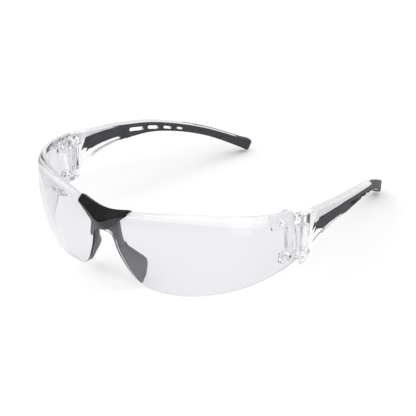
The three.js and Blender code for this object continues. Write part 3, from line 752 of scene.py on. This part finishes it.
def build_core():
    half = TEMPLE_THICKNESS / 2
    body = temple_body("temple_clear_left", TEMPLE_FRONT, TIP_START + 0.4, (-half, half), low_z, top_z, 0.7)
    roof = temple_body("roof", ROOF_FRONT, TEMPLE_FRONT + 1, (-half + 0.01, half - 0.01),
                       lambda y: EAR_UPPER[1] + GAP, lambda y: top_z(y) - 0.01, 0.4)
    combine(body, roof, "UNION")
    combine(body, temple_body("cheek", CHEEK_FRONT, TEMPLE_FRONT + 1.2, (half - CHEEK_THICKNESS, half - 0.02),
                              lambda y: low_z(y) + 0.02, lambda y: top_z(y) - 0.02, 0.3), "UNION")
    # The inner front corner is cut off at 45 degrees.
    corner = box_body("corner", 0, 3, -2, 3, 0, 50)
    spot = to_world((float(middle_x(TEMPLE_FRONT)) - half - 2.4, TEMPLE_FRONT - 0.4, 0))
    shift = Matrix.Translation(Vector(spot) - Vector(to_world((0, 0, 0))))
    origin = Matrix.Translation(Vector(to_world((0, 0, 0))))
    corner.data.transform(shift @ origin @ Matrix.Rotation(math.pi / 4, 4, "Z") @ origin.inverted())
    combine(body, corner, "DIFFERENCE")
    overmould = -0.04  # the recesses are this much smaller than the rubber that fills them
    combine(body, grip_body("recess", INNER_MARGINS, -1, overmould), "DIFFERENCE")
    combine(body, grip_body("recess", OUTER_MARGINS, 1, overmould), "DIFFERENCE")
    z0, z1 = EAR_LOWER[1] + GAP, EAR_UPPER[0] - GAP
    combine(body, rounded_rod("knuckle", KNUCKLE_RADIUS, z0, z1, PIN_X, PIN_Y), "UNION")
    outside = PIN_X + KNUCKLE_RADIUS - 0.1
    neck = box_body("neck", PIN_X - 1, outside, PIN_Y, TEMPLE_FRONT + 1, z0 + 0.03, z1 - 0.03)
    combine(body, neck, "UNION")
    combine(body, pin_hole(), "DIFFERENCE")
    return cut_slots(body)


def finish_core(obj):
    """The rail on top, the margin above the outer grip and the front edges are matt and painted whitish as a
    highlight, and rubber lines the slots.
    """
    obj.data.materials.append(RAIL_PAINTED_HIGHLIGHT)
    obj.data.materials.append(GRIP)
    first, last = SLOTS[0][0] - 1, SLOTS[-1][1] + 3
    slot_depth, slot_floor = 0.75, 0.3  # nearer than this to the top or bottom edge is no slot wall
    rail_depth, grip_side, margin_start = 1, 1.9, -23
    sideways, upward, forward_facing = 0.6, 0.6, -0.7  # limits on a face's normal
    grip_ys, grip_above, _ = np.array(OUTER_MARGINS, float).T
    for face in obj.data.polygons:
        x, y, z = design_centre(face)
        aside = abs(x) - float(middle_x(y))
        depth = float(top_z(y)) - z
        in_band = first < y < last and depth > slot_depth and z > low_z(y) + slot_floor
        in_slot = in_band and abs(face.normal.x) < sideways
        on_top = face.normal.z > upward and depth < rail_depth
        above_grip = depth < float(np.interp(y, grip_ys, grip_above)) + 0.1
        on_margin = aside > grip_side and y > margin_start and above_grip
        front_edge = face.normal.y < forward_facing and y < TEMPLE_FRONT
        over_rail = y > RAIL_END or (y > DARK_EDGE[0][0] and aside > float(np.interp(y, *DARK_EDGE)))
        if in_slot or (over_rail and depth < rail_depth):
            face.material_index = 2
        # faces on top, on the upper outer margin and at the front edge take the whitish rail look, a painted
        # highlight
        elif on_top or on_margin or front_edge:
            face.material_index = 1


def build_tip():
    half = TEMPLE_THICKNESS / 2 + GRIP_PROUD
    rounding_from = 0.6  # share of the sleeve's length where its end begins to round
    rings = []
    for v in np.sin(np.linspace(0, math.pi / 2, 24)):
        y = TIP_START + (TIP_END - TIP_CUT_BACK - TIP_START) * v
        shrink = math.sqrt(max(1 - max(v - rounding_from, 0) ** 2 / 0.4**2, 0.01))
        z0, z1 = float(low_z(y)), float(top_z(y))
        ring = rounded_box_ring(-half * shrink, half * shrink, z0 + (1 - shrink) * (z1 - z0) / 2,
                                z1 - (1 - shrink) * (z1 - z0) / 2, 0.9 * shrink, 3)
        lean = TIP_LEAN * v * (ring[:, 1] - (z0 + z1) / 2)
        rings.append(temple_points(y + lean, ring[:, 0], np.maximum(ring[:, 1], TABLE_Z)))
    return loft("tip_rubber_left", rings)


core = build_core()
inner_grip = cut_slots(grip_body("inner_grip_rubber_left", INNER_MARGINS, -1))
outer_grip = cut_slots(grip_body("outer_grip_rubber_left", OUTER_MARGINS, 1))
tip = build_tip()
for part, material, slot, node in (
    (core, CLEAR_PLASTIC, "clear_plastic", "temple_core"),
    (inner_grip, GRIP, "grip_rubber", "inner_grip"),
    (outer_grip, GRIP, "grip_rubber", "outer_grip"),
    (tip, GRIP, "grip_rubber", "tip_sleeve"),
):
    other = mirrored(part, part.name.replace("_left", "_right"))
    place(part, material, "temple_left", slot, f"{node}_left")
    place(other, material, "temple_right", slot, f"{node}_right")
    if part is core:
        finish_core(part)
        finish_core(other)


# ---- floor, light and camera -------------------------------------------------------------


def build_floor():
    mesh = bpy.data.meshes.new("floor")
    bm = bmesh.new()
    bmesh.ops.create_grid(bm, x_segments=2, y_segments=2, size=3.0)
    bm.to_mesh(mesh)
    bm.free()
    floor = bpy.data.objects.new("floor", mesh)
    bpy.context.scene.collection.objects.link(floor)
    look = Look("pale_floor", **{"Roughness": 0.9, "Specular IOR Level": 0.1})
    look.colours(look.noise(3, 2.0), (0.73, 0.73, 0.73), (0.74, 0.74, 0.74))
    floor.data.materials.append(look.material)
    floor.location.z = -0.0002


def area_lamp(name, location, target, size, power):
    lamp = bpy.data.lights.new(name, "AREA")
    lamp.shape = "RECTANGLE"
    lamp.size, lamp.size_y = size
    lamp.energy = power
    obj = bpy.data.objects.new(name, lamp)
    obj.location = location
    obj.rotation_euler = (Vector(target) - Vector(location)).to_track_quat("-Z", "Y").to_euler()
    bpy.context.scene.collection.objects.link(obj)


build_floor()
area_lamp("key_light", (-0.35, -0.5, 1.1), (0, 0, 0), (2.4, 1.8), 13)
area_lamp("back_light", (0.2, 0.9, 0.9), (0, 0, 0), (1.4, 0.7), 8)
area_lamp("side_light", (0.95, -0.2, 0.55), (0, 0, 0.02), (0.5, 0.9), 3)

WORLD_STRENGTH = 0.68
world = bpy.data.worlds.new("studio")
world.use_nodes = True
world.node_tree.nodes["Background"].inputs["Color"].default_value = (1, 1, 1, 1)
world.node_tree.nodes["Background"].inputs["Strength"].default_value = WORLD_STRENGTH
bpy.context.scene.world = world

forward = Vector((-math.sin(CAMERA_AZIMUTH) * math.cos(CAMERA_ELEVATION),
                  math.cos(CAMERA_AZIMUTH) * math.cos(CAMERA_ELEVATION), -math.sin(CAMERA_ELEVATION)))
level = Vector((math.cos(CAMERA_AZIMUTH), math.sin(CAMERA_AZIMUTH), 0))
upright = level.cross(forward)
right = math.cos(CAMERA_ROLL) * level + math.sin(CAMERA_ROLL) * upright
up = right.cross(forward)
camera_data = bpy.data.cameras.new("camera")
camera_data.sensor_width, camera_data.lens = CAMERA_SENSOR, CAMERA_LENS
camera_data.clip_start = 0.01
camera = bpy.data.objects.new("camera", camera_data)
spot = Vector(to_world(CAMERA_TARGET)) - forward * CAMERA_DISTANCE * MM
camera.matrix_world = Matrix((
    (right.x, up.x, -forward.x, spot.x), (right.y, up.y, -forward.y, spot.y),
    (right.z, up.z, -forward.z, spot.z), (0, 0, 0, 1),
))
bpy.context.scene.collection.objects.link(camera)
bpy.context.scene.camera = camera
bpy.context.scene.view_settings.view_transform = "Standard"
